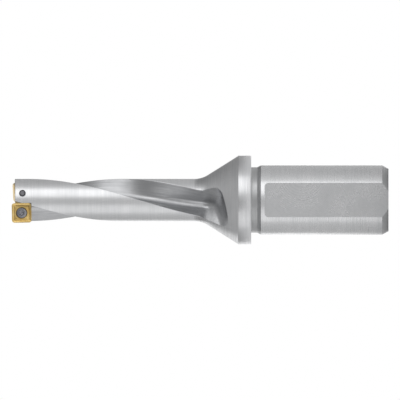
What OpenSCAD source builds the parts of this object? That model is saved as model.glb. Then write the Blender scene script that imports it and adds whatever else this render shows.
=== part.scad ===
// Indexable drill: a fluted steel body with a flanged shank, and two
// square carbide inserts, each held in its pocket by one six-lobe screw.
// The tool axis is Z, the shank's end face is at Z = 0 and the tip is up.

/* [Shank] */
// Diameter of the shank
shank_d = 32; // [28:0.5:36]
// Length from the end face to the flange's back face
shank_len = 63.5; // [58:0.5:75]
// Depth of the clamping flat below the shank's surface
flat_depth = 2.1; // [1.2:0.1:3]
// Length of the clamping flat, from the end face
flat_len = 57.3; // [40:0.1:57.5]
// Corner radius at the upper end of the flat
flat_corner_r = 1.9; // [1:0.1:3]
// Length of the end chamfer along the axis
end_chamfer_len = 2.9; // [1:0.1:5]
// Depth of the end chamfer across the axis
end_chamfer_depth = 1.6; // [0.8:0.1:3]
// Diameter of the relief neck under the flange
neck_d = 30.3; // [26:0.1:31]
// Length of the relief neck
neck_len = 2.8; // [1.5:0.1:4]
// Length of the chamfer between the neck and the shank
neck_chamfer_len = 1.7; // [0.8:0.1:2]

/* [Flange and cone] */
// Diameter of the flange
flange_d = 41; // [38:0.5:48]
// Width of the flange along the axis
flange_w = 6; // [4:0.1:10]
// Small chamfer on the flange's edges
flange_chamfer = 0.4; // [0.2:0.1:1]
// Angle between the cone and the axis
cone_angle = 32.5; // [27:0.5:40]
// Radius where the cone runs into the fluted body
cone_fillet_r = 12; // [4:0.5:20]

/* [Fluted body] */
// Diameter of the fluted body
body_d = 19.5; // [18.5:0.1:20.2]
// Length from the flange's front face to the tip face
body_len = 103.3; // [85:0.1:130]
// Chamfer at the rim of the tip face
tip_chamfer = 0.25; // [0.1:0.05:0.6]
// Angle of the dished tip face
tip_dish_angle = 2.9; // [0:0.1:5]
// Lead of the helical flutes
flute_lead = 203; // [170:1:260]
// Thickness of the web between the two flutes
web_t = 4.9; // [4.2:0.1:6]
// Radius of the flute's inner corner
flute_corner_r = 2.5; // [1.5:0.1:4]
// Distance below the tip face at which the flute wall lies on the rake plane
flute_ref_depth = 6.7; // [5:0.1:9]
// Height of the flutes' lower end above the flange's front face
flute_end_gap = 5.4; // [5:0.1:12]
// Length of the ramp on which the flutes run out through the cone
flute_ramp_len = 11; // [7:0.5:14]
// Angle of that ramp from the axis
flute_ramp_angle = 35; // [25:0.5:40]
// Angle by which the web-side wall opens on that ramp
flute_lean_angle = 20; // [0:1:35]
// Radius at the foot of the flutes' end wall
flute_end_r = 3; // [1:0.1:4]
// Slant of the flutes' lower end
flute_end_slant = 23; // [0:0.5:25]
// Radius of the rounded corner at the flutes' lower end
flute_run_r = 4.5; // [1:0.1:6]

/* [Inserts] */
// Cutting diameter, set by the outer insert's corner
cutting_d = 21; // [20.6:0.1:21.6]
// Width of the outer insert
outer_insert_w = 9.1; // [8.6:0.1:9.3]
// Width of the central insert
central_insert_w = 8.75; // [8.2:0.05:9]
// Thickness of both inserts
insert_t = 3.97; // [3.2:0.01:4.2]
// Relief angle of the inserts' flanks
relief_angle = 11; // [7:0.5:15]
// Corner radius of both inserts
insert_corner_r = 1.2; // [0.8:0.1:1.6]
// Reach of the outer insert past the tip face
outer_insert_reach = 1.4; // [1:0.1:2]
// Reach of the central insert past the tip face
central_insert_reach = 0.9; // [0.6:0.1:1.2]
// Distance by which the central insert passes the axis
centre_overlap = 0.65; // [0.4:0.05:0.8]
// Lead angle of the outer insert's front edge
outer_lead_angle = 1; // [0:0.1:2]
// Lead angle of the central insert's front edge
central_lead_angle = 2.9; // [0:0.1:4]
// Width of the flat land along the cutting edges
edge_land = 0.22; // [0.15:0.01:0.4]
// Width of the raised island inside the chip groove
island_w = 6.5; // [6:0.1:6.8]
// Depth of the chip groove
groove_depth = 0.28; // [0.1:0.01:0.4]

/* [Screws] */
// Thread diameter of the insert screws
screw_d = 3; // [2.5:0.1:3.2]
// Head diameter of the insert screws
screw_head_d = 4.7; // [4.2:0.1:5]
// Overall length of the insert screws
screw_len = 7.2; // [6:0.1:7.4]
// Tilt of the screws, which pulls each insert into its corner
screw_tilt = 4; // [0:0.5:5]
// Point-to-point size of the six-lobe socket
socket_d = 2.8; // [2.2:0.1:3]
// Depth of the six-lobe socket
socket_depth = 1.3; // [0.8:0.1:1.6]

/* [Coolant] */
// Minor diameter of the threaded coolant inlet
inlet_d = 11.45; // [9:0.05:13]
// Length of the threaded coolant inlet
inlet_len = 17; // [12:0.5:24]
// Chamfer at the mouth of the coolant inlet
inlet_mouth = 1.2; // [0.6:0.1:2]
// Diameter of the supply bore above the inlet
supply_d = 8; // [6:0.1:8.5]
// Depth of the supply bore from the end face
supply_depth = 52; // [45:0.5:56]
// Diameter of the two coolant channels
channel_d = 1.6; // [1.2:0.1:1.7]
// Distance of the coolant channels from the axis
channel_radius = 8.3; // [8:0.05:8.4]

/* [Hidden] */
$fn = 64;

// Gap between an insert's flanks and its pocket's walls
pocket_gap = 0.04;
// Gap between a screw's thread and its hole
thread_gap = 0.04;
// Gap between a screw's head and the insert's countersink
head_gap = 0.18;
// Depth of the screw head's top below the insert's rake face
head_sink = 0.2;
// Half of the included angle of the screw head's cone
head_half_angle = 30;
// Length by which a cutting shape passes the surface that it cuts
over = 2;
// Angle of a drilled hole's conical bottom, from its axis
drill_point_angle = 59;
// Sides of a coolant channel's section
channel_sides = 10;
// Steps along the arc of the flute's inner corner
corner_steps = 6;
// Steps along the helical run of a flute or a channel
helix_steps = 40;
// Power by which a flute's rows grow apart towards the tip
helix_growth = 1.25;
// Share of the ramp along which the flute's web-side wall opens
lean_share = 0.6;
// Angle of the corner at the flutes' lower end
flute_run_angle = 54;
// Steps round the foot of a flute's end wall
end_steps = 6;
// Steps round the fillet above the cone
fillet_steps = 8;
// Slopes of the chip groove's outer and inner sides, from the screw's axis
groove_outer_angle = 68;
groove_inner_angle = 45;
// Radius of a scallop between two socket lobes, for each millimetre of the socket's size
scallop_share = 0.2;
// Distance of a scallop's crest from the socket's axis, for each millimetre of its size
waist_share = 0.36;
// Chamfer at the lower end of the insert screws
screw_tip = 0.4;
// Turn of the blank that keeps its seam clear of the clamping flat
seam_turn = 52.5;

shank_r = shank_d / 2;
neck_r = neck_d / 2;
flange_r = flange_d / 2;
body_r = body_d / 2;
flat_y = shank_r - flat_depth;
flat_w = 2 * sqrt(shank_r * shank_r - flat_y * flat_y);
flange_top = shank_len + flange_w;
cone_top = flange_top + (flange_r - body_r) / tan(cone_angle);
tip_z = flange_top + body_len;
tip_dish = body_r * tan(tip_dish_angle);
fillet_tangent = cone_fillet_r * tan(cone_angle / 2);

// Angle by which a flute's section is turned at a height
helix_rate = 360 / flute_lead;
flute_ref_z = tip_z - flute_ref_depth;
function helix_angle(z) = helix_rate * (z - flute_ref_z);

// The flute's walls reach past the flange's rim
flute_reach = flange_r + over;
flute_angle = acos(web_t / 2 / body_r);
flute_end_z = flange_top + flute_end_gap;
// Direction from the axis through the middle of the flute's corner
flute_mid_angle = 225;
// Direction in which the flute shifts on its ramp
flute_ramp_dir = 250;
flute_ramp_z = flute_end_z + flute_ramp_len;
flute_lean_len = flute_ramp_len * lean_share;
flute_top_z = tip_z + flute_reach * tan(flute_end_slant) + over;

outer_insert_x = -(cutting_d / 2 - outer_insert_w / 2);
outer_insert_z = tip_z + outer_insert_reach - outer_insert_w / 2;
central_insert_x = central_insert_w / 2 - centre_overlap;
central_insert_z = tip_z + central_insert_reach - central_insert_w / 2;

head_r = screw_head_d / 2;
screw_r = screw_d / 2;
head_h = (head_r - screw_r) / tan(head_half_angle);
hole_r = screw_r + 2 * head_gap;

// Angle of a coolant channel from the flute, in the middle of the land
channel_angle = -(180 - flute_angle) / 2;
channel_low_z = supply_depth - 2 * channel_d;
channel_bend_z = cone_top + fillet_tangent;
channel_low_radius = supply_d / 2 - channel_d;

// Points of one turned section, with each point at its own height
function turned(points, heights) = [
    for (i = [0:len(points) - 1])
        let (a = helix_angle(heights[i]), p = points[i])
        [p.x * cos(a) - p.y * sin(a), p.x * sin(a) + p.y * cos(a), heights[i]]
];

// A closed solid through a list of sections with equal point counts
module loft(sections) {
    n = len(sections[0]);
    last = len(sections) - 1;
    points = [for (s = sections) each s];
    sides = [
        for (k = [0:last - 1], i = [0:n - 1])
            let (j = (i + 1) % n, a = k * n + i, b = k * n + j, c = a + n, d = b + n)
            each [[a, b, d], [a, d, c]]
    ];
    bottom = [for (i = [0:n - 3]) [n - 1, i + 1, i]];
    top = [for (i = [0:n - 3]) [last * n + n - 1, last * n + i, last * n + i + 1]];
    polyhedron(points, concat(sides, bottom, top), convexity = 6);
}

// Flute section: the insert-side wall, the rounded corner and the web-side wall
flute_section =
    let (
        web_x = -web_t / 2,
        corner_x = web_x - flute_corner_r,
        corner_y = -flute_corner_r,
        near = body_r + over / 2
    )
    concat(
        [[-flute_reach, 0], [-near, 0], [(corner_x - near) / 2, 0]],
        [
            for (i = [0:corner_steps])
                let (a = 90 - 90 * i / corner_steps)
                [corner_x + flute_corner_r * cos(a), corner_y + flute_corner_r * sin(a)]
        ],
        [
            [web_x, (corner_y - near) / 2],
            [web_x, -near],
            [web_x, -flute_reach],
            [-flute_reach, -flute_reach]
        ]
    );

// Distance of a section point from the flute's middle line
function across(p) = p.x * sin(flute_mid_angle) - p.y * cos(flute_mid_angle);

// Outward shift of the flute at a distance down its ramp, with an eased start
function ramp_shift(d) =
    let (ease = flute_ramp_len / 3)
    tan(flute_ramp_angle) * (d < ease ? d * d / ease / 2 : d - ease / 2);

// Rise of the insert-side wall that rounds the flute's corner, at a height above the flute's end
function corner_rise(h) =
    h > flute_run_r * (1 + cos(flute_run_angle)) ? 0 :
    flute_run_r / tan(flute_run_angle / 2) - h / tan(flute_run_angle) - sqrt(2 * flute_run_r * h - h * h);

// Slope by which the web-side wall opens on the ramp
function wall_lean(d) = tan(flute_lean_angle) * min(1, d / flute_lean_len);

// A section point, moved by its distance down the ramp
function ramp_point(p, d, extra) =
    let (
        shift = ramp_shift(d) + extra,
        on_web_wall = p.x > -flute_reach && p.y < -flute_corner_r,
        lean = on_web_wall ? wall_lean(d) * (-p.y - flute_corner_r) : 0
    )
    [p.x + shift * cos(flute_ramp_dir) + lean, p.y + shift * sin(flute_ramp_dir)];

// One section of a flute, narrowed where its corner is rounded, with an extra shift at its foot
function flute_row(z, extra) =
    let (
        kept = 1 - corner_rise(max(0, z - flute_end_z)) / flute_reach,
        section = [for (p = flute_section) [p.x, (p.y + flute_reach) * kept - flute_reach]],
        heights = [for (p = section) z - tan(flute_end_slant) * across(p)]
    )
    turned(
        [
            for (i = [0:len(section) - 1])
                ramp_point(section[i], max(0, flute_ramp_z - heights[i]), extra)
        ],
        heights
    );

module flute() {
    straight_z = flute_end_z + flute_end_r;
    foot = [
        for (i = [end_steps:-1:1])
            let (a = 90 * i / end_steps)
            flute_row(straight_z - flute_end_r * sin(a), flute_end_r * (1 - cos(a)))
    ];
    run = [
        for (i = [0:helix_steps])
            flute_row(straight_z + (flute_top_z - straight_z) * pow(i / helix_steps, helix_growth), 0)
    ];
    loft(concat(foot, run));
}

function channel_row(z, radius) =
    let (
        points = [
            for (i = [0:channel_sides - 1])
                let (a = -360 * i / channel_sides)
                [
                    radius * cos(channel_angle) + channel_d / 2 * cos(a),
                    radius * sin(channel_angle) + channel_d / 2 * sin(a)
                ]
        ]
    )
    turned(points, [for (p = points) z]);

module coolant_channel() {
    run = [
        for (i = [0:helix_steps])
            channel_row(channel_bend_z + (tip_z + over - channel_bend_z) * i / helix_steps, channel_radius)
    ];
    loft(concat([channel_row(channel_low_z, channel_low_radius)], run));
}

// Half section of the turned blank
module blank_section() {
    lead_z = shank_len - neck_len;
    polygon(concat(
        [
            [0, 0],
            [shank_r - end_chamfer_depth, 0],
            [shank_r, end_chamfer_len],
            [shank_r, lead_z - neck_chamfer_len],
            [neck_r, lead_z],
            [neck_r, shank_len],
            [flange_r - flange_chamfer, shank_len],
            [flange_r, shank_len + flange_chamfer],
            [flange_r, flange_top]
        ],
        [
            for (i = [0:fillet_steps])
                let (a = 180 + cone_angle * (1 - i / fillet_steps))
                [
                    body_r + cone_fillet_r + cone_fillet_r * cos(a),
                    cone_top + fillet_tangent + cone_fillet_r * sin(a)
                ]
        ],
        [
            [body_r, tip_z - tip_chamfer],
            [body_r - tip_chamfer, tip_z],
            [0, tip_z - tip_dish]
        ]
    ));
}

// Clamping flat, open at the end face and rounded at its upper corners
module shank_flat() {
    corner_x = flat_w / 2 - flat_corner_r + pocket_gap;
    rotate([90, 0, 0]) translate([0, 0, flat_y]) linear_extrude(shank_r) {
        translate([-shank_r, -over]) square([shank_d, flat_len - flat_corner_r + over]);
        translate([-corner_x, 0]) square([2 * corner_x, flat_len]);
        for (side = [-1, 1])
            translate([side * corner_x, flat_len - flat_corner_r]) circle(r = flat_corner_r);
    }
}

// Threaded inlet with its mouth chamfer, and the supply bore above it
module coolant_inlet() {
    inlet_r = inlet_d / 2;
    supply_r = supply_d / 2;
    rotate_extrude() polygon([
        [0, -over],
        [inlet_r + inlet_mouth, -over],
        [inlet_r + inlet_mouth, 0],
        [inlet_r, inlet_mouth],
        [inlet_r, inlet_len],
        [supply_r, inlet_len + (inlet_r - supply_r) / tan(drill_point_angle)],
        [supply_r, supply_depth],
        [0, supply_depth + supply_r / tan(drill_point_angle)]
    ]);
}

// An insert's own frame is its rake face: X outwards, Y to the tip, Z out of the face
module outer_seat() {
    translate([outer_insert_x, 0, outer_insert_z]) rotate([90, 0, 0])
        rotate([0, 0, outer_lead_angle]) children();
}

module central_seat() {
    rotate([0, 0, 180]) translate([-central_insert_x, 0, central_insert_z]) rotate([90, 0, 0])
        rotate([0, 0, -central_lead_angle]) children();
}

// A screw leans towards the tool axis as it goes down
module screw_place() {
    translate([0, 0, -head_sink]) rotate([0, -screw_tilt, 0]) translate([0, 0, head_sink]) children();
}

module rounded_square(w, r) {
    half = w / 2 - r;
    hull() for (x = [-half, half], y = [-half, half]) translate([x, y]) circle(r = r, $fn = 32);
}

// Tapered block that narrows downwards from the rake face
module tapered_block(w, r, depth, angle) {
    mirror([0, 0, 1])
        linear_extrude(depth, scale = (w - 2 * depth * tan(angle)) / w) rounded_square(w, r);
}

// Chip groove round the raised island
module chip_groove(w) {
    groove_w = w - 2 * edge_land;
    difference() {
        tapered_block(groove_w, insert_corner_r - edge_land, groove_depth, groove_outer_angle);
        translate([0, 0, over]) tapered_block(island_w, edge_land, over, 0);
        mirror([0, 0, 1])
            linear_extrude(over, scale = (island_w + 2 * over * tan(groove_inner_angle)) / island_w)
                rounded_square(island_w, edge_land);
    }
}

module insert_hole() {
    rim_r = head_r + head_gap + head_sink * tan(head_half_angle);
    neck_z = (rim_r - hole_r) / tan(head_half_angle);
    rotate_extrude() polygon([
        [0, -insert_t - over],
        [hole_r, -insert_t - over],
        [hole_r, -neck_z],
        [rim_r, 0],
        [rim_r, over],
        [0, over]
    ]);
}

module insert(w) {
    difference() {
        tapered_block(w, insert_corner_r, insert_t, relief_angle);
        chip_groove(w);
        insert_hole();
    }
}

// Pocket: the tapered seat, the way out in front of it and the tapped hole below it
module insert_pocket(w, tapped_depth) {
    pocket_w = w + 2 * pocket_gap;
    tapered_block(pocket_w, insert_corner_r, insert_t, relief_angle);
    translate([-pocket_w, -pocket_w / 2, -pocket_gap]) cube([1.5 * pocket_w, 2 * pocket_w, shank_r]);
    screw_place() translate([0, 0, -tapped_depth]) cylinder(r = screw_r + thread_gap, h = tapped_depth);
}

module six_lobe(d) {
    scallop_r = d * scallop_share;
    difference() {
        circle(d = d);
        for (i = [0:5])
            rotate(60 * i + 30) translate([d * waist_share + scallop_r, 0]) circle(r = scallop_r);
    }
}

module insert_screw() {
    screw_place() difference() {
        rotate_extrude() polygon([
            [0, -head_sink],
            [head_r, -head_sink],
            [screw_r, -head_sink - head_h],
            [screw_r, screw_tip - head_sink - screw_len],
            [screw_r - screw_tip, -head_sink - screw_len],
            [0, -head_sink - screw_len]
        ]);
        translate([0, 0, -head_sink - socket_depth]) linear_extrude(socket_depth + over) six_lobe(socket_d);
    }
}

module drill_body() {
    color("silver") difference() {
        rotate([0, 0, seam_turn]) rotate_extrude() blank_section();
        for (turn = [0, 180]) rotate([0, 0, turn]) {
            flute();
            coolant_channel();
        }
        shank_flat();
        coolant_inlet();
        outer_seat() insert_pocket(outer_insert_w, body_d);
        central_seat() insert_pocket(central_insert_w, body_d);
    }
}

module outer_insert() {
    color("goldenrod") outer_seat() insert(outer_insert_w);
}

module central_insert() {
    color("goldenrod") central_seat() insert(central_insert_w);
}

module outer_insert_screw() {
    color("dimgray") outer_seat() insert_screw();
}

module central_insert_screw() {
    color("dimgray") central_seat() insert_screw();
}

drill_body();
outer_insert();
central_insert();
outer_insert_screw();
central_insert_screw();
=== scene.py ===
"""Dresses the indexable drill: smooth body, inserts and screws, their finishes, and a studio."""

import math

import bmesh
import bpy
from mathutils import Matrix, Vector


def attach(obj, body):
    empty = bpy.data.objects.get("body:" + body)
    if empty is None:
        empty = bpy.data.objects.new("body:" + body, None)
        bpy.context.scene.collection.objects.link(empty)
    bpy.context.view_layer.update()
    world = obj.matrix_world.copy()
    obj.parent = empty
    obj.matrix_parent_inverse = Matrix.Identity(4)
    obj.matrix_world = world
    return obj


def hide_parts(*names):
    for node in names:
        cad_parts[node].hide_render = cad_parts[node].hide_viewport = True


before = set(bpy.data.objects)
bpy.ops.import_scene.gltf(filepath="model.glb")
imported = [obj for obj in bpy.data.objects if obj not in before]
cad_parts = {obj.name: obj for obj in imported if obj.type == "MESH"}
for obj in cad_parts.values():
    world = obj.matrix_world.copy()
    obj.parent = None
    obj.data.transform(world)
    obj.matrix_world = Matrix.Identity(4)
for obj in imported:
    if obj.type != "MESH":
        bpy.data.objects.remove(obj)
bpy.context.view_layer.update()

MM = 0.001

# Driving sizes, in millimetres, as in the part's source
SHANK_R = 16.0
SHANK_LEN = 63.5
FLAT_Y = 13.9
FLAT_LEN = 57.3
FLAT_CORNER_R = 1.9
END_CHAMFER = (2.9, 1.6)
NECK_R = 15.15
NECK_LEN = 2.8
NECK_CHAMFER = 1.7
FLANGE_R = 20.5
FLANGE_W = 6.0
FLANGE_ROUND = 0.4
CONE_ANGLE = math.radians(32.5)
CONE_FILLET_R = 12.0
BODY_R = 9.75
BODY_LEN = 103.3
TIP_CHAMFER = 0.25
TIP_DISH_ANGLE = math.radians(2.9)
FLUTE_LEAD = 203.0
WEB_T = 4.9
FLUTE_CORNER_R = 2.5
FLUTE_REF_DEPTH = 6.7
FLUTE_END_GAP = 5.4
FLUTE_RAMP_LEN = 11.0
FLUTE_RAMP_ANGLE = math.radians(35)
FLUTE_RAMP_DIR = math.radians(250)
FLUTE_LEAN_ANGLE = math.radians(20)
FLUTE_LEAN_SHARE = 0.6
FLUTE_END_R = 3.0
FLUTE_END_SLANT = math.radians(23)
FLUTE_RUN_R = 4.5
FLUTE_RUN_ANGLE = math.radians(54)
FLUTE_MID_ANGLE = math.radians(225)
CUTTING_D = 21.0
OUTER_INSERT_W = 9.1
CENTRAL_INSERT_W = 8.75
INSERT_T = 3.97
RELIEF = math.radians(11)
INSERT_CORNER_R = 1.2
OUTER_REACH = 1.4
CENTRAL_REACH = 0.9
CENTRE_OVERLAP = 0.65
OUTER_LEAD = math.radians(1)
CENTRAL_LEAD = math.radians(2.9)
EDGE_LAND = 0.22
ISLAND_W = 6.5
GROOVE_DEPTH = 0.28
SCREW_R = 1.5
SCREW_PITCH = 0.5
THREAD_DEPTH = 0.27
SCREW_LEN = 7.2
SCREW_HEAD_R = 2.35
SCREW_HEAD_SINK = 0.2
SCREW_TILT = math.radians(4)
HEAD_HALF_ANGLE = math.radians(30)
SOCKET_R = 1.4
SOCKET_DEPTH = 1.3
INLET_R = 5.725
INLET_LEN = 17.0
INLET_PITCH = 1.337
INLET_THREAD_DEPTH = 0.75
INLET_MOUTH = 1.2
SUPPLY_R = 4.0
SUPPLY_DEPTH = 52.0
CHANNEL_R = 0.8
CHANNEL_RADIUS = 8.3
DRILL_POINT = math.radians(59)

# Clearances, and small breaks that the edges of the real tool have
POCKET_GAP = 0.04
THREAD_GAP = 0.04
HEAD_GAP = 0.18
EDGE_BREAK = 0.1
# Height at which an insert's seat ends, a little inside the way out
SEAT_TOP = 0.001
# Length by which a cutter passes the surface that it cuts
OVER = 2.0

FLANGE_TOP = SHANK_LEN + FLANGE_W
CONE_TOP = FLANGE_TOP + (FLANGE_R - BODY_R) / math.tan(CONE_ANGLE)
FILLET_TOP = CONE_TOP + CONE_FILLET_R * math.tan(CONE_ANGLE / 2)
TIP_Z = FLANGE_TOP + BODY_LEN
FLUTE_REF_Z = TIP_Z - FLUTE_REF_DEPTH
FLUTE_END_Z = FLANGE_TOP + FLUTE_END_GAP
FLUTE_RAMP_Z = FLUTE_END_Z + FLUTE_RAMP_LEN
FLUTE_EASE_LEN = FLUTE_RAMP_LEN / 3
FLUTE_LEAN_LEN = FLUTE_RAMP_LEN * FLUTE_LEAN_SHARE
FLUTE_REACH = FLANGE_R + OVER
LAND_ANGLE = math.pi - math.acos(WEB_T / 2 / BODY_R)
HELIX_RATE = 2 * math.pi / FLUTE_LEAD

# Points round the blank, the inlet and the screws, the screw holes, and a coolant channel
ROUND_STEPS = 192
HOLE_STEPS = 96
SCREW_HOLE_STEPS = 48
CHANNEL_STEPS = 24
# Points round the arcs of the flange's rear and front edge, the cone's fillet and other corners
REAR_EDGE_STEPS = 6
FRONT_EDGE_STEPS = 4
FILLET_STEPS = 16
ARC_STEPS = 10
# Points round a corner and along a side of an insert
CORNER_STEPS = 8
SIDE_STEPS = 8
# Rows along the shank, the fluted body, a flute's foot, a flute, a channel, and a thread's pitch
SHANK_ROWS = 12
BODY_ROWS = 36
FOOT_ROWS = 10
FLUTE_ROWS = 170
CHANNEL_ROWS = 60
PITCH_ROWS = 12
# Radii at which the dished tip face has points, and the places of the points along a flute's wall
DISH_RADII = (6.0, 3.0, 0.5)
WALL_SHARES = (0.25, 0.5, 0.75)
# Tries, and share of the miss made good in each, to find where a flute's wall meets the surface
SEARCH_TRIES = 30
SEARCH_SHARE = 0.8
# Thread form: height in the middle of a crest, before it is cut off at 1, and its fall per pitch
THREAD_PEAK = 1.5
THREAD_FALL = 3.6
# Radius at which a hole's or a screw's end closes
CLOSING_R = 0.05
SCREW_CLOSING_R = 0.03
# Distance within which points of a cut mesh are merged, in metres
WELD = 1e-6
# Angles above which an edge of the body, an insert or a screw is sharp, in degrees
BODY_SHARP = 20
INSERT_SHARP = 28
SCREW_SHARP = 35


# Meshes


def mesh_object(name, points, faces):
    """A mesh object from points in millimetres."""
    mesh = bpy.data.meshes.new(name)
    mesh.from_pydata([Vector(p) * MM for p in points], [], faces)
    mesh.validate()
    obj = bpy.data.objects.new(name, mesh)
    bpy.context.scene.collection.objects.link(obj)
    return obj


def loft(name, rings, closed=False):
    """Joins rings with equal point counts, then caps the ends or joins the last to the first."""
    n = len(rings[0])
    points = [p for ring in rings for p in ring]
    count = len(rings)
    faces = []
    for k in range(count if closed else count - 1):
        a, b = k * n, (k + 1) % count * n
        for i in range(n):
            j = (i + 1) % n
            faces.append((a + i, a + j, b + j, b + i))
    if not closed:
        for ring, sign in ((0, -1), (count - 1, 1)):
            middle = len(points)
            points.append(tuple(sum(c) / n for c in zip(*rings[ring])))
            base = ring * n
            for i in range(n):
                j = (i + 1) % n
                faces.append((base + i, base + j, middle)[::sign])
    return mesh_object(name, points, faces)


def circle(r, z, steps=HOLE_STEPS):
    """A ring of points round the axis."""
    turns = (2 * math.pi * i / steps for i in range(steps))
    return [(r * math.cos(a), r * math.sin(a), z) for a in turns]


def revolve(name, profile):
    """A solid turned from a list of radii and heights."""
    return loft(name, [circle(r, z, ROUND_STEPS) for r, z in profile])


def arc(cx, cy, r, start, end, steps):
    """Points round an arc, with its angles in radians."""
    angles = (start + (end - start) * i / steps for i in range(steps + 1))
    return [(cx + r * math.cos(a), cy + r * math.sin(a)) for a in angles]


def thread_radius(root, crest, pitch, turn, z):
    """Radius of a right-hand thread with flat crests at one point."""
    phase = (z / pitch - turn / (2 * math.pi)) % 1.0
    height = min(1.0, max(0.0, THREAD_PEAK - abs(phase - 0.5) * THREAD_FALL))
    return root + (crest - root) * height


def thread_rings(root, crest, pitch, low, high, plain, steps):
    """Rings of a threaded cylinder that fades to the plain radius at both ends."""
    rows = int((high - low) / pitch * PITCH_ROWS)
    rings = []
    for k in range(rows + 1):
        z = low + (high - low) * k / rows
        fade = min(1.0, (z - low) / pitch, (high - z) / pitch)
        ring = []
        for i in range(steps):
            a = 2 * math.pi * i / steps
            r = plain + (thread_radius(root, crest, pitch, a, z) - plain) * fade
            ring.append((r * math.cos(a), r * math.sin(a), z))
        rings.append(ring)
    return rings


def cut(obj, cutters):
    """Subtracts the cutters from a mesh object and deletes them."""
    for cutter in cutters:
        step = obj.modifiers.new("cut", "BOOLEAN")
        step.operation = "DIFFERENCE"
        step.solver = "MANIFOLD"
        step.object = cutter
        graph = bpy.context.evaluated_depsgraph_get()
        result = bpy.data.meshes.new_from_object(obj.evaluated_get(graph))
        obj.modifiers.clear()
        obj.data = result
        bpy.data.objects.remove(cutter)


def weld_mesh(obj):
    """Merges coinciding points and removes the empty or folded faces that cuts leave."""
    shape = bmesh.new()
    shape.from_mesh(obj.data)
    bmesh.ops.remove_doubles(shape, verts=shape.verts, dist=WELD)
    bmesh.ops.dissolve_degenerate(shape, edges=shape.edges, dist=WELD)
    many_sided = [face for face in shape.faces if len(face.verts) > 4]
    bmesh.ops.triangulate(shape, faces=many_sided)
    twins = {}
    for face in shape.faces:
        twins.setdefault(frozenset(face.verts), []).append(face)
    folded = [face for faces in twins.values() if len(faces) > 1 for face in faces]
    bmesh.ops.delete(shape, geom=folded, context="FACES")
    shape.to_mesh(obj.data)
    shape.free()


def finish_mesh(obj, sharp_deg):
    """Smooth faces, with sharp edges where the real piece has them."""
    for face in obj.data.polygons:
        face.use_smooth = True
    obj.data.set_sharp_from_angle(angle=math.radians(sharp_deg))


# The steel body


def blank_profile():
    """Radius and height of the turned blank, from the end face up to the tip."""
    neck_z = SHANK_LEN - NECK_LEN
    length, depth = END_CHAMFER
    run = neck_z - NECK_CHAMFER - length
    points = [(SHANK_R - depth, 0), (SHANK_R, length)]
    points += [(SHANK_R, length + run * i / SHANK_ROWS) for i in range(1, SHANK_ROWS + 1)]
    points += [(NECK_R, neck_z), (NECK_R, SHANK_LEN)]
    edge = FLANGE_R - FLANGE_ROUND
    rear, front = SHANK_LEN + FLANGE_ROUND, FLANGE_TOP - FLANGE_ROUND / 2
    points += arc(edge, rear, FLANGE_ROUND, -math.pi / 2, 0, REAR_EDGE_STEPS)
    points += arc(edge, front, FLANGE_ROUND, 0, math.pi / 2 - CONE_ANGLE, FRONT_EDGE_STEPS)
    middle, start = BODY_R + CONE_FILLET_R, math.pi + CONE_ANGLE
    points += arc(middle, FILLET_TOP, CONE_FILLET_R, start, math.pi, FILLET_STEPS)
    run = TIP_Z - TIP_CHAMFER - FILLET_TOP
    points += [(BODY_R, FILLET_TOP + run * i / BODY_ROWS) for i in range(1, BODY_ROWS + 1)]
    points += [(BODY_R - TIP_CHAMFER, TIP_Z)]
    dish = math.tan(TIP_DISH_ANGLE)
    points += [(r, TIP_Z - (BODY_R - r) * dish) for r in DISH_RADII]
    return points


PROFILE = blank_profile()


def blank_radius(z):
    """Radius of the blank at a height on the cone or the fluted body."""
    for (r0, z0), (r1, z1) in zip(PROFILE, PROFILE[1:]):
        if z0 <= z <= z1 and z1 > z0:
            return r0 + (r1 - r0) * (z - z0) / (z1 - z0)
    return BODY_R


def turned(x, y, z):
    """A flute section's point, turned to its place on the helix."""
    a = HELIX_RATE * (z - FLUTE_REF_Z)
    return (x * math.cos(a) - y * math.sin(a), x * math.sin(a) + y * math.cos(a), z)


def ramp_shift(d):
    """How far the flute's floor has moved out at a distance below the ramp's start."""
    ease = FLUTE_EASE_LEN
    return math.tan(FLUTE_RAMP_ANGLE) * (d * d / ease / 2 if d < ease else d - ease / 2)


def corner_rise(height):
    """Rise of the insert-side wall that rounds a flute's corner, at a height above its end."""
    if height > FLUTE_RUN_R * (1 + math.cos(FLUTE_RUN_ANGLE)):
        return 0.0
    run = FLUTE_RUN_R / math.tan(FLUTE_RUN_ANGLE / 2) - height / math.tan(FLUTE_RUN_ANGLE)
    return run - math.sqrt(2 * FLUTE_RUN_R * height - height * height)


def flute_place(x, y, row_z, extra):
    """Where a section point lies after the ramp's shift, with its height."""
    kept = 1 - corner_rise(max(0.0, row_z - FLUTE_END_Z)) / FLUTE_REACH
    y = (y + FLUTE_REACH) * kept - FLUTE_REACH
    across = x * math.sin(FLUTE_MID_ANGLE) - y * math.cos(FLUTE_MID_ANGLE)
    z = row_z - math.tan(FLUTE_END_SLANT) * across
    d = max(0.0, FLUTE_RAMP_Z - z)
    shift = ramp_shift(d) + extra
    lean = 0.0
    if x > -FLUTE_REACH and y < -FLUTE_CORNER_R:
        slope = math.tan(FLUTE_LEAN_ANGLE) * min(1.0, d / FLUTE_LEAN_LEN)
        lean = slope * (-y - FLUTE_CORNER_R)
    px = x + shift * math.cos(FLUTE_RAMP_DIR) + lean
    return px, y + shift * math.sin(FLUTE_RAMP_DIR), z


def wall_point(row_z, extra, on_web_wall, beyond):
    """Where a flute wall crosses the blank's surface, or a little beyond or short of it."""
    depth = -BODY_R
    nearest = -WEB_T / 2 - 2 * FLUTE_CORNER_R
    for _ in range(SEARCH_TRIES):
        x, y = (-WEB_T / 2, depth) if on_web_wall else (depth, 0.0)
        px, py, z = flute_place(x, y, row_z, extra)
        missing = blank_radius(z) + beyond - math.hypot(px, py)
        depth = max(-FLUTE_REACH, min(depth - missing * SEARCH_SHARE, nearest))
    return (-WEB_T / 2, depth) if on_web_wall else (depth, 0.0)


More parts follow.
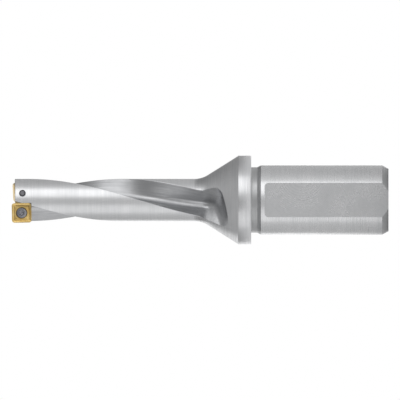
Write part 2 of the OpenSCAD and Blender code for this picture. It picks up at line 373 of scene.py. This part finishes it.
def flute_ring(row_z, extra):
    """One section of a flute cutter, whose walls flare by the edge break at the surface."""
    placed = []
    base = -WEB_T / 2 - FLUTE_CORNER_R
    flare = 2 * EDGE_BREAK

    outer = wall_point(row_z, extra, False, EDGE_BREAK)
    inner = wall_point(row_z, extra, False, -EDGE_BREAK)
    for x, rise in ((-FLUTE_REACH, flare), (outer[0], flare), (inner[0], 0.0)):
        px, py, z = flute_place(x, 0.0, row_z, extra)
        placed.append((px, py + rise, z))
    for share in WALL_SHARES:
        placed.append(flute_place(inner[0] + (base - inner[0]) * share, 0.0, row_z, extra))

    for x, y in arc(base, -FLUTE_CORNER_R, FLUTE_CORNER_R, math.pi / 2, 0, ARC_STEPS):
        placed.append(flute_place(x, y, row_z, extra))

    outer = wall_point(row_z, extra, True, EDGE_BREAK)
    inner = wall_point(row_z, extra, True, -EDGE_BREAK)
    for share in WALL_SHARES:
        y = -FLUTE_CORNER_R + (inner[1] + FLUTE_CORNER_R) * share
        placed.append(flute_place(-WEB_T / 2, y, row_z, extra))
    for y, side in ((inner[1], 0.0), (outer[1], flare), (-FLUTE_REACH, flare)):
        px, py, z = flute_place(-WEB_T / 2, y, row_z, extra)
        placed.append((px + side, py, z))
    placed.append(flute_place(-FLUTE_REACH, -FLUTE_REACH, row_z, extra))
    return [turned(*p) for p in reversed(placed)]


def flute_cutter():
    """A flute from its rounded foot on the cone to beyond the tip."""
    foot_z = FLUTE_END_Z + FLUTE_END_R
    top_z = TIP_Z + FLUTE_REACH * math.tan(FLUTE_END_SLANT) + OVER
    rings = []
    for i in range(FOOT_ROWS, 0, -1):
        a = math.pi / 2 * i / FOOT_ROWS
        row_z = foot_z - FLUTE_END_R * math.sin(a)
        rings.append(flute_ring(row_z, FLUTE_END_R * (1 - math.cos(a))))
    for k in range(FLUTE_ROWS + 1):
        rings.append(flute_ring(foot_z + (top_z - foot_z) * k / FLUTE_ROWS, 0.0))
    return loft("flute_cutter", rings)


def channel_cutter():
    """A coolant channel: a helix in the middle of a land, with its lower end in the supply bore."""
    rows = [(SUPPLY_DEPTH - 4 * CHANNEL_R, SUPPLY_R - 2 * CHANNEL_R)]
    run = TIP_Z + OVER - FILLET_TOP
    for k in range(CHANNEL_ROWS + 1):
        rows.append((FILLET_TOP + run * k / CHANNEL_ROWS, CHANNEL_RADIUS))
    rings = []
    for z, radius in rows:
        x = radius * math.cos(-LAND_ANGLE / 2)
        y = radius * math.sin(-LAND_ANGLE / 2)
        section = circle(CHANNEL_R, 0, CHANNEL_STEPS)
        rings.append([turned(x + u, y + v, z) for u, v, _ in section])
    return loft("channel_cutter", rings)


def flat_cutter():
    """The clamping flat, rounded at its upper corners."""
    half = math.sqrt(SHANK_R**2 - FLAT_Y**2) + POCKET_GAP
    shoulder = FLAT_LEN - FLAT_CORNER_R
    outline = [(SHANK_R, -OVER), (SHANK_R, shoulder)]
    middle, r = half - FLAT_CORNER_R, FLAT_CORNER_R
    outline += arc(middle, shoulder, r, 0, math.pi / 2, ARC_STEPS)
    outline += arc(-middle, shoulder, r, math.pi / 2, math.pi, ARC_STEPS)
    outline += [(-SHANK_R, shoulder), (-SHANK_R, -OVER)]
    depths = (-FLAT_Y, -SHANK_R - OVER)
    return loft("flat_cutter", [[(x, y, z) for x, z in outline] for y in depths])


def inlet_cutter():
    """The threaded coolant inlet with its mouth, and the supply bore above it."""
    wide = INLET_R + INLET_MOUTH
    low, high = INLET_MOUTH, INLET_LEN - OVER
    crest = INLET_R + INLET_THREAD_DEPTH
    shoulder = INLET_LEN + (INLET_R - SUPPLY_R) / math.tan(DRILL_POINT)
    point = SUPPLY_DEPTH + SUPPLY_R / math.tan(DRILL_POINT)
    rings = [circle(wide, -OVER), circle(wide, 0)]
    rings += thread_rings(INLET_R, crest, INLET_PITCH, low, high, INLET_R, HOLE_STEPS)
    rings += [
        circle(INLET_R, INLET_LEN),
        circle(SUPPLY_R, shoulder),
        circle(SUPPLY_R, SUPPLY_DEPTH),
        circle(CLOSING_R, point),
    ]
    return loft("inlet_cutter", rings)


# The insert seats: X outwards, Y to the tip and Z out of the rake face


def seat(x, z, lead, turn):
    """The place of an insert, from its middle, its lead angle and its turn round the axis."""
    place = Matrix.Translation(Vector((x, 0, z)) * MM)
    facing = Matrix.Rotation(math.pi / 2, 4, "X") @ Matrix.Rotation(lead, 4, "Z")
    return Matrix.Rotation(turn, 4, "Z") @ place @ facing


OUTER_SEAT = seat(
    OUTER_INSERT_W / 2 - CUTTING_D / 2, TIP_Z + OUTER_REACH - OUTER_INSERT_W / 2, OUTER_LEAD, 0
)
CENTRAL_SEAT = seat(
    CENTRE_OVERLAP - CENTRAL_INSERT_W / 2,
    TIP_Z + CENTRAL_REACH - CENTRAL_INSERT_W / 2,
    -CENTRAL_LEAD,
    math.pi,
)
SCREW_PIVOT = Matrix.Translation((0, 0, -SCREW_HEAD_SINK * MM))
SCREW_LEAN = SCREW_PIVOT @ Matrix.Rotation(-SCREW_TILT, 4, "Y") @ SCREW_PIVOT.inverted()


def put(obj, place):
    """Moves a piece's points to their place, so that the object stays at the origin."""
    obj.data.transform(place)
    obj.data.update()
    return obj


def square_ring(half, r, z):
    """A rounded square, with points along its sides as well."""
    ring = []
    inner = half - r
    for k in range(4):
        a = math.pi / 2 * k
        c, s = math.cos(a), math.sin(a)
        for u, v in arc(inner, inner, r, 0, math.pi / 2, CORNER_STEPS):
            ring.append((u * c - v * s, u * s + v * c, z))
        for i in range(1, SIDE_STEPS):
            u, v = inner - 2 * inner * i / SIDE_STEPS, half
            ring.append((u * c - v * s, u * s + v * c, z))
    return ring


def round_ring(r, z, like):
    """A circle whose points lie at the same angles as another ring's."""
    angles = [math.atan2(y, x) for x, y, _ in like]
    return [(r * math.cos(a), r * math.sin(a), z) for a in angles]


def pocket_cutters(width, place):
    """The tapered seat, the way out in front of it and the tapped hole below it."""
    half = width / 2 + POCKET_GAP
    low = half - INSERT_T * math.tan(RELIEF)
    low_ring = square_ring(low, INSERT_CORNER_R * low / half, -INSERT_T)
    high_ring = square_ring(half, INSERT_CORNER_R, SEAT_TOP)
    seat_block = loft("seat_cutter", [low_ring, high_ring])
    corners = [(-2 * half, -half), (half, -half), (half, 3 * half), (-2 * half, 3 * half)]
    levels = (-POCKET_GAP, SHANK_R)
    way_out = loft("way_out_cutter", [[(x, y, z) for x, y in corners] for z in levels])
    root = SCREW_R - THREAD_DEPTH + THREAD_GAP
    crest = SCREW_R + THREAD_GAP
    low_z = -SCREW_HEAD_SINK - SCREW_LEN - SCREW_PITCH / 2
    high_z = -INSERT_T - SCREW_PITCH
    steps = SCREW_HOLE_STEPS
    rings = [circle(crest, z, steps) for z in (-2 * BODY_R, low_z - SCREW_PITCH)]
    rings += thread_rings(root, crest, SCREW_PITCH, low_z, high_z, root, steps)
    rings += [circle(crest, z, steps) for z in (high_z + THREAD_DEPTH, -INSERT_T + SCREW_PITCH)]
    tapped = put(loft("tapped_cutter", rings), SCREW_LEAN)
    return [put(c, place) for c in (seat_block, way_out, tapped)]


def make_body():
    """The turned blank with all its cuts."""
    body = revolve("drill_body_skin", PROFILE)
    cutters = []
    for turn in (0, math.pi):
        for cutter in (flute_cutter(), channel_cutter()):
            cutters.append(put(cutter, Matrix.Rotation(turn, 4, "Z")))
    cutters += [flat_cutter(), inlet_cutter()]
    cutters += pocket_cutters(OUTER_INSERT_W, OUTER_SEAT)
    cutters += pocket_cutters(CENTRAL_INSERT_W, CENTRAL_SEAT)
    cut(body, cutters)
    weld_mesh(body)
    finish_mesh(body, BODY_SHARP)
    return body


# The inserts and screws

# Honed width of an insert's cutting edge
HONE = 0.05
# Rings of an insert at its base and its cutting edge: the distance inside the outline there, what
# the corner radius loses, and the height above the base or above the edge
BASE_RINGS = ((0.1, 0.1, 0.0), (-0.01, 0.0, 0.08))
EDGE_RINGS = (
    (0.03, 0.03, -0.16),
    (0.01, 0.0, -HONE),
    (0.02, 0.01, -HONE / 3),
    (HONE, HONE, 0.0),
)
# The same for the chip groove's outer side, down to its floor with a corner radius of its own
GROOVE_RINGS = ((0.0, 0.0, 0.0), (0.1, 0.05, -0.06))
GROOVE_RUN = 0.55
GROOVE_CORNER_R = 0.6
# Rings of the island: distance outside its outline, corner radius and height
ISLAND_RINGS = (
    (0.2, 0.45, -GROOVE_DEPTH),
    (0.05, 0.35, -0.06),
    (0.0, 0.3, -0.02),
    (-0.06, 0.26, 0.0),
)
# Rounded rim of the hole: distance outside it and height
RIM_RINGS = ((0.06, 0.0), (0.0, -0.04))


def make_insert(name, width, place):
    """A tapered square insert with honed edges, a chip groove, an island and a countersunk hole."""
    half = width / 2
    low = half - INSERT_T * math.tan(RELIEF)
    base_r = INSERT_CORNER_R * low / half
    groove = half - EDGE_LAND
    groove_r = INSERT_CORNER_R - EDGE_LAND
    island = ISLAND_W / 2
    rim = SCREW_HEAD_R + HEAD_GAP + SCREW_HEAD_SINK * math.tan(HEAD_HALF_ANGLE)
    hole = SCREW_R + 2 * HEAD_GAP
    hole_z = -(rim - hole) / math.tan(HEAD_HALF_ANGLE)
    like = square_ring(half, INSERT_CORNER_R, 0)
    rings = [round_ring(hole, -INSERT_T, like)]
    rings += [square_ring(low - d, base_r - loss, z - INSERT_T) for d, loss, z in BASE_RINGS]
    rings += [square_ring(half - d, INSERT_CORNER_R - loss, z) for d, loss, z in EDGE_RINGS]
    rings += [square_ring(groove - d, groove_r - loss, z) for d, loss, z in GROOVE_RINGS]
    rings += [square_ring(groove - GROOVE_RUN, GROOVE_CORNER_R, -GROOVE_DEPTH)]
    rings += [square_ring(island + d, r, z) for d, r, z in ISLAND_RINGS]
    rings += [round_ring(rim + d, z, like) for d, z in RIM_RINGS]
    rings += [round_ring(hole, hole_z, like)]
    insert = put(loft(name, rings, closed=True), place)
    finish_mesh(insert, INSERT_SHARP)
    return insert


# Socket: count of lobes, their mean radius and swing, and what the flanks between them lose
LOBES = 6
LOBE_MEAN = 0.86
LOBE_SWING = 0.14
LOBE_LOSS = 0.03
# Socket: chamfer at the top, share of the radius kept at the floor, radius and depth of its cone
SOCKET_CHAMFER = 0.08
SOCKET_TAPER = 0.97
SOCKET_CONE = (0.2, 0.3)
# Screw: chamfer at its end, ends of the thread above that end and below the head, and the plain
# shoulder under the head
END_BREAK = (0.2, 0.25)
THREAD_START = 0.3
THREAD_STOP = 0.5
SHOULDER_LOSS = 0.02
SHOULDER_LEN = 0.3
# Rounded rim of the head: distance inside its radius and depth below its top
HEAD_RINGS = ((0.05, 0.16), (0.0, 0.1), (0.03, 0.03), (0.1, 0.0))


def lobe_ring(r, z):
    """The six-lobe socket's outline."""
    ring = []
    for i in range(HOLE_STEPS):
        a = 2 * math.pi * i / HOLE_STEPS
        lobe = r * (LOBE_MEAN + LOBE_SWING * math.cos(LOBES * a))
        lobe -= LOBE_LOSS * r * math.sin(LOBES * a) ** 2
        ring.append((lobe * math.cos(a), lobe * math.sin(a), z))
    return ring


def make_screw(name, place):
    """A countersunk screw with a six-lobe socket and a rolled thread."""
    top = -SCREW_HEAD_SINK
    neck = top - (SCREW_HEAD_R - SCREW_R) / math.tan(HEAD_HALF_ANGLE)
    end = top - SCREW_LEN
    root = SCREW_R - THREAD_DEPTH
    floor = top - SOCKET_DEPTH
    low, high = end + THREAD_START, neck - THREAD_STOP
    rings = [
        circle(SCREW_CLOSING_R, end),
        circle(root - END_BREAK[0], end),
        circle(root, end + END_BREAK[1]),
    ]
    rings += thread_rings(root, SCREW_R, SCREW_PITCH, low, high, root, HOLE_STEPS)
    rings += [circle(SCREW_R - SHOULDER_LOSS, z) for z in (neck - SHOULDER_LEN, neck)]
    rings += [circle(SCREW_HEAD_R - d, top - depth) for d, depth in HEAD_RINGS]
    rings += [
        lobe_ring(SOCKET_R + SOCKET_CHAMFER, top),
        lobe_ring(SOCKET_R, top - SOCKET_CHAMFER),
        lobe_ring(SOCKET_R * SOCKET_TAPER, floor),
        circle(SOCKET_CONE[0], floor - SOCKET_CONE[1]),
    ]
    screw = put(loft(name, rings), place @ SCREW_LEAN)
    finish_mesh(screw, SCREW_SHARP)
    return screw


# Materials

# Noise: roughness of its octaves, and the range that most of its values lie in
NOISE_ROUGHNESS = 0.55
NOISE_RANGE = (0.3, 0.7)
# Steel: shares of the machining marks and of a slow cloud in the pattern, the cloud's scale, and
# the strength of the marks' relief
MARK_SHARE = 0.6
CLOUD_SHARE = 0.4
CLOUD_SCALE = 90.0
MARK_STRENGTH = 0.35
# Scales of the marks: round the axis, across and along the flutes, and of a plain grain
RING_SCALE = 60
FLUTE_SCALE = (2600, 2600, 70)
GRAIN_SCALE = 2200.0
# Face mill's marks on the flat: their middle and pitch in metres, the share of their wave, and the
# scale of their grain
SWEEP_MIDDLE = (0.011, 0.0, 0.04)
SWEEP_PITCH = 0.0006
SWEEP_DEPTH = 0.12
SWEEP_GRAIN_SCALE = 1400.0
# Coating of the inserts: two hues and their scale, the range of its roughness, and its grain
GOLD_DARK = (0.64, 0.42, 0.13)
GOLD_PALE = (0.79, 0.6, 0.26)
GOLD_HUE_SCALE = 260.0
GOLD_ROUGH = (0.26, 0.4)
GOLD_GRAIN_SCALE = 5200.0
GOLD_GRAIN_STRENGTH = 0.25
GOLD_GRAIN_DEPTH = 0.00002


class Nodes:
    """Short ways to add nodes to one material."""

    def __init__(self, name):
        self.material = bpy.data.materials.new(name)
        self.material.use_nodes = True
        self.tree = self.material.node_tree
        self.shader = self.tree.nodes["Principled BSDF"]
        self.place = self.add("ShaderNodeTexCoord").outputs["Object"]

    def add(self, kind, inputs=None, **settings):
        node = self.tree.nodes.new(kind)
        for key, value in settings.items():
            setattr(node, key, value)
        for key, value in (inputs or {}).items():
            if isinstance(value, bpy.types.NodeSocket):
                self.tree.links.new(value, node.inputs[key])
            else:
                node.inputs[key].default_value = value
        return node

    def math(self, operation, a, b=0.0):
        return self.add("ShaderNodeMath", {0: a, 1: b}, operation=operation).outputs[0]

    def sum_of(self, a, share_a, b, share_b):
        """Two values, each times its share, added."""
        part_a, part_b = self.math("MULTIPLY", a, share_a), self.math("MULTIPLY", b, share_b)
        return self.math("ADD", part_a, part_b)

    def noise(self, vector, scale, detail=3.0):
        inputs = {"Vector": vector, "Scale": scale, "Detail": detail}
        inputs["Roughness"] = NOISE_ROUGHNESS
        return self.add("ShaderNodeTexNoise", inputs).outputs["Fac"]

    def stretched(self, vector, scale):
        return self.add("ShaderNodeMapping", {"Vector": vector, "Scale": scale}).outputs[0]

    def span(self, value, low, high):
        """A noise value brought to a new range."""
        inputs = {"Value": value, "To Min": low, "To Max": high}
        inputs["From Min"], inputs["From Max"] = NOISE_RANGE
        return self.add("ShaderNodeMapRange", inputs).outputs[0]

    def tint(self, value, dark, pale):
        """A colour between two, by a value, from the mix node's sockets for colours."""
        inputs = {0: value, 6: (*dark, 1), 7: (*pale, 1)}
        return self.add("ShaderNodeMix", inputs, data_type="RGBA").outputs[2]

    def link(self, socket, value):
        self.tree.links.new(value, self.shader.inputs[socket])

    def bump(self, height, strength, distance):
        inputs = {"Height": height, "Strength": strength, "Distance": distance}
        self.link("Normal", self.add("ShaderNodeBump", inputs).outputs[0])


def steel(name, dark, pale, rough, marks, depth):
    """Steel whose tint, gloss and relief follow a pattern of machining marks."""
    nodes = Nodes(name)
    nodes.shader.inputs["Metallic"].default_value = 1.0
    lines = marks(nodes)
    cloud = nodes.noise(nodes.place, CLOUD_SCALE, detail=4.0)
    blend = nodes.sum_of(lines, MARK_SHARE, cloud, CLOUD_SHARE)
    nodes.link("Base Color", nodes.tint(nodes.span(blend, 0.0, 1.0), dark, pale))
    nodes.link("Roughness", nodes.span(blend, rough[1], rough[0]))
    nodes.bump(lines, MARK_STRENGTH, depth)
    return nodes.material


def ring_marks(pitch):
    """Fine lines round the axis, from grinding or turning."""
    scale = (RING_SCALE, RING_SCALE, 1 / pitch)
    return lambda nodes: nodes.noise(nodes.stretched(nodes.place, scale), 1.0, detail=4.0)


def flute_marks(nodes):
    """Lines that run along the helix of the flutes."""
    split = nodes.add("ShaderNodeSeparateXYZ", {0: nodes.place}).outputs
    turn = nodes.math("MULTIPLY", split[2], HELIX_RATE / MM)
    spin = nodes.math("SUBTRACT", LAND_ANGLE / 2 + HELIX_RATE * FLUTE_REF_Z, turn)
    inputs = {"Vector": nodes.place, "Axis": (0, 0, 1), "Angle": spin}
    straight = nodes.add("ShaderNodeVectorRotate", inputs).outputs[0]
    return nodes.noise(nodes.stretched(straight, FLUTE_SCALE), 1.0)


def sweep_marks(nodes):
    """Wide arcs from a face mill on the clamping flat."""
    inputs = {0: nodes.place, 1: SWEEP_MIDDLE}
    away = nodes.add("ShaderNodeVectorMath", inputs, operation="SUBTRACT").outputs[0]
    span = nodes.add("ShaderNodeVectorMath", {0: away}, operation="LENGTH").outputs["Value"]
    wave = nodes.math("SINE", nodes.math("MULTIPLY", span, 2 * math.pi / SWEEP_PITCH))
    soft = nodes.math("MULTIPLY_ADD", wave, SWEEP_DEPTH)
    soft.node.inputs[2].default_value = 0.5
    fine = nodes.noise(nodes.place, SWEEP_GRAIN_SCALE)
    return nodes.sum_of(soft, MARK_SHARE, fine, CLOUD_SHARE)


def grain_marks(nodes):
    """A fine grain without direction."""
    return nodes.noise(nodes.place, GRAIN_SCALE)


def coating():
    """Gold coating over pressed carbide: fine grain and slow shifts of hue."""
    nodes = Nodes("insert_coating")
    nodes.shader.inputs["Metallic"].default_value = 1.0
    hue = nodes.noise(nodes.place, GOLD_HUE_SCALE, detail=2.0)
    grain = nodes.noise(nodes.place, GOLD_GRAIN_SCALE)
    nodes.link("Base Color", nodes.tint(nodes.span(hue, 0.0, 1.0), GOLD_DARK, GOLD_PALE))
    nodes.link("Roughness", nodes.span(grain, *GOLD_ROUGH))
    nodes.bump(grain, GOLD_GRAIN_STRENGTH, GOLD_GRAIN_DEPTH)
    return nodes.material


# Finishes of the body in slot order, where relief and bore are darker copies that paint shade:
# name, darkest and palest tint, range of the roughness, and the machining marks with their depth in
# metres
FINISHES = {
    "shank": (
        "shank_ground",
        (0.55, 0.56, 0.57),
        (0.72, 0.72, 0.73),
        (0.2, 0.34),
        ring_marks(0.00016),
        0.00001,
    ),
    "turned": (
        "turned_steel",
        (0.5, 0.51, 0.52),
        (0.68, 0.68, 0.69),
        (0.24, 0.4),
        ring_marks(0.0003),
        0.00003,
    ),
    # Painted shade: the relief finish is a darker copy of the turned steel, for the end chamfer,
    # the neck and its chamfer
    "relief": (
        "relief_painted_shade",
        (0.34, 0.345, 0.35),
        (0.5, 0.505, 0.51),
        (0.28, 0.44),
        ring_marks(0.0003),
        0.00003,
    ),
    "land": (
        "land_nickel",
        (0.56, 0.57, 0.58),
        (0.7, 0.7, 0.71),
        (0.26, 0.4),
        ring_marks(0.0002),
        0.00001,
    ),
    "flute": (
        "flute_milled",
        (0.34, 0.345, 0.355),
        (0.52, 0.525, 0.535),
        (0.24, 0.42),
        flute_marks,
        0.00002,
    ),
    "flat": (
        "flat_milled",
        (0.5, 0.51, 0.52),
        (0.7, 0.7, 0.71),
        (0.22, 0.38),
        sweep_marks,
        0.00002,
    ),
    # Painted shade: the bore finish is darker steel that stands for the shade inside the inlet and
    # the supply bore
    "bore": (
        "bore_painted_shade",
        (0.3, 0.3, 0.31),
        (0.46, 0.46, 0.47),
        (0.3, 0.5),
        ring_marks(0.0004),
        0.00002,
    ),
}
SCREW_FINISH = (
    "screw_black",
    (0.2, 0.2, 0.22),
    (0.34, 0.34, 0.36),
    (0.26, 0.42),
    grain_marks,
    0.00001,
)
# Distance within which a face lies on a surface, and how squarely a face looks to one side
NEAR = 0.06
SQUARE = 0.99
NEARLY_SQUARE = 0.9


def body_region(middle, normal):
    """Name of the region that a face of the body belongs to."""
    x, y, z = (c / MM for c in middle)
    r = math.hypot(x, y)
    # Faces inside the inlet and the supply bore get darker steel as painted shade
    if z < SUPPLY_DEPTH + OVER * 2 and r < INLET_R + INLET_MOUTH + NEAR:
        return "bore"
    # Faces that go to the relief below, at the flat's foot, the end chamfer and the neck, get
    # darker steel as painted shade
    if z < FLAT_LEN + NEAR and y < -FLAT_Y + NEAR and r < SHANK_R - NEAR:
        return "flat" if z > END_CHAMFER[0] / 2 or normal[1] < -SQUARE else "relief"
    if z < SHANK_LEN - NECK_LEN - NECK_CHAMFER:
        return "shank" if z > END_CHAMFER[0] else "relief"
    if z < SHANK_LEN - NEAR:
        return "relief"
    if z < FLANGE_TOP:
        return "turned"
    tip_low = TIP_Z - TIP_CHAMFER - BODY_R * math.tan(TIP_DISH_ANGLE)
    if z > tip_low and normal[2] > NEARLY_SQUARE:
        return "turned"
    if abs(r - blank_radius(z)) < NEAR:
        return "turned" if z < FILLET_TOP else "land"
    return "flute"


def dress_body(body):
    """Gives each face of the body the finish of its region, with painted shade on the relief and
    the bore.
    """
    order = list(FINISHES)
    body.data.materials.clear()
    for finish in FINISHES.values():
        body.data.materials.append(steel(*finish))
    for face in body.data.polygons:
        face.material_index = order.index(body_region(face.center, face.normal))


# Studio

# Brightness of the white surroundings in a reflection: everywhere, and towards each soft side,
# with its direction and how narrow it is
DIM_SIDE = 0.3
SOFT_SIDES = (
    ((0.74, -0.64, 0.2), 0.62, 5.0),
    ((-0.8, -0.5, 0.1), 0.3, 4.0),
    ((-0.1, 0.2, 1.0), 0.3, 3.0),
)
# Brightness of the surroundings as a light on matt surfaces
DIFFUSE_LEVEL = 0.75
# Half width of the floor, and the distances over which it fades to white, in metres
FLOOR_SIZE = 6.0
FLOOR_FADE = (0.08, 0.5)
# The floor's two greys, the scale of their cloud, and its roughness
FLOOR_DARK = (0.87, 0.87, 0.87)
FLOOR_PALE = (0.9, 0.9, 0.9)
FLOOR_CLOUD_SCALE = 3.0
FLOOR_ROUGH = 0.7
# Lamps: place and power, and the point they face and the size they all have, in metres and watts
LAMPS = {
    "key": ((0.42, -0.5, 0.28), 0.9),
    "fill": ((-0.5, -0.4, 0.12), 0.4),
    "back": ((-0.15, 0.6, 0.3), 0.8),
}
LAMP_TARGET = (0, 0, 0.09)
LAMP_SIZE = 0.6


def make_world():
    """White behind the object, and dimmer in what metal reflects away from the soft sides."""
    world = bpy.data.worlds.new("studio")
    bpy.context.scene.world = world
    world.use_nodes = True
    tree = world.node_tree
    tree.nodes.clear()
    add, link = tree.nodes.new, tree.links.new

    def value(operation, *items):
        node = add("ShaderNodeMath")
        node.operation = operation
        for socket, item in zip(node.inputs, items):
            if isinstance(item, bpy.types.NodeSocket):
                link(item, socket)
            else:
                socket.default_value = item
        return node.outputs[0]

    coords = add("ShaderNodeTexCoord").outputs["Generated"]
    level = DIM_SIDE
    for toward, strength, focus in SOFT_SIDES:
        facing = add("ShaderNodeVectorMath")
        facing.operation = "DOT_PRODUCT"
        link(coords, facing.inputs[0])
        facing.inputs[1].default_value = Vector(toward).normalized()
        spread = value("POWER", value("MAXIMUM", facing.outputs["Value"], 0.0), focus)
        level = value("ADD", level, value("MULTIPLY", spread, strength))

    ray = add("ShaderNodeLightPath").outputs
    mirrored = value("MAXIMUM", ray["Is Glossy Ray"], ray["Is Transmission Ray"])
    plain = value("SUBTRACT", 1.0, mirrored)
    in_metal, in_matt = value("MULTIPLY", mirrored, level), value("MULTIPLY", plain, DIFFUSE_LEVEL)
    seen = value("ADD", in_metal, in_matt)
    background = add("ShaderNodeBackground")
    background.inputs["Color"].default_value = (1, 1, 1, 1)
    link(value("MAXIMUM", ray["Is Camera Ray"], seen), background.inputs["Strength"])
    output = add("ShaderNodeOutputWorld")
    link(background.outputs[0], output.inputs[0])


def make_lights():
    """Square lamps that face the middle of the drill."""
    for name, (place, power) in LAMPS.items():
        light = bpy.data.lights.new(name, "AREA")
        light.size = LAMP_SIZE
        light.energy = power
        obj = bpy.data.objects.new(name, light)
        obj.location = place
        facing = Vector(LAMP_TARGET) - Vector(place)
        obj.rotation_euler = facing.to_track_quat("-Z", "Y").to_euler()
        bpy.context.scene.collection.objects.link(obj)


def make_floor():
    """A pale floor that keeps the object's shadow and fades to white further out."""
    half = FLOOR_SIZE / MM
    corners = [(-half, -half, 0), (half, -half, 0), (half, half, 0), (-half, half, 0)]
    floor = mesh_object("floor", corners, [(0, 1, 2, 3)])
    nodes = Nodes("floor_pale")
    cloud = nodes.noise(nodes.place, FLOOR_CLOUD_SCALE)
    nodes.link("Base Color", nodes.tint(cloud, FLOOR_DARK, FLOOR_PALE))
    nodes.shader.inputs["Roughness"].default_value = FLOOR_ROUGH
    ray = nodes.add("ShaderNodeLightPath").outputs
    mirrored = nodes.math("MAXIMUM", ray["Is Glossy Ray"], ray["Is Transmission Ray"])
    seen = nodes.math("MAXIMUM", ray["Is Camera Ray"], mirrored)
    away = nodes.add("ShaderNodeVectorMath", {0: nodes.place}, operation="LENGTH").outputs["Value"]
    fade = nodes.add(
        "ShaderNodeMapRange",
        {"Value": away, "From Min": FLOOR_FADE[0], "From Max": FLOOR_FADE[1]},
        interpolation_type="SMOOTHSTEP",
    )
    white = nodes.add("ShaderNodeEmission", {"Color": (1, 1, 1, 1), "Strength": 1.0})
    share = nodes.math("MULTIPLY", seen, fade.outputs[0])
    inputs = {0: share, 1: nodes.shader.outputs[0], 2: white.outputs[0]}
    mixed = nodes.add("ShaderNodeMixShader", inputs)
    surface = nodes.tree.nodes["Material Output"].inputs["Surface"]
    nodes.tree.links.new(mixed.outputs[0], surface)
    floor.data.materials.append(nodes.material)


# The drawing is a square side view with the tip to the left and the axis in its middle: size of a
# pixel in millimetres, pixels across, and where the shank's end face lies
PIXEL = 0.46243
IMAGE_SIZE = 400
END_FACE_PIXEL = 388.5
# Distance of the camera from the axis, in metres
CAMERA_AWAY = 0.6


def make_camera():
    """A square view from the drawing's side."""
    data = bpy.data.cameras.new("camera")
    data.type = "ORTHO"
    data.ortho_scale = IMAGE_SIZE * PIXEL * MM
    camera = bpy.data.objects.new("camera", data)
    right, up, back = Vector((0, 0, -1)), Vector((1, 0, 0)), Vector((0, -1, 0))
    turn = Matrix((right, up, back)).transposed().to_4x4()
    middle_z = (END_FACE_PIXEL - IMAGE_SIZE / 2) * PIXEL * MM
    camera.matrix_world = Matrix.Translation((0, -CAMERA_AWAY, middle_z)) @ turn
    bpy.context.scene.collection.objects.link(camera)
    bpy.context.scene.camera = camera


def hand_over(piece, node, material=None):
    """The piece takes a CAD node's place and finish."""
    if material:
        piece.data.materials.clear()
        piece.data.materials.append(material)
    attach(piece, "root")
    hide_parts(node)


bpy.context.scene.view_settings.view_transform = "Standard"
make_camera()
make_world()
make_lights()
make_floor()

body = make_body()
dress_body(body)
hand_over(body, "drill_body")

gold = coating()
black = steel(*SCREW_FINISH)
SEATS = {"outer": (OUTER_INSERT_W, OUTER_SEAT), "central": (CENTRAL_INSERT_W, CENTRAL_SEAT)}
for side, (width, place) in SEATS.items():
    insert = make_insert(f"{side}_insert_skin", width, place)
    hand_over(insert, f"{side}_insert", gold)
    screw = make_screw(f"{side}_screw_skin", place)
    hand_over(screw, f"{side}_insert_screw", black)
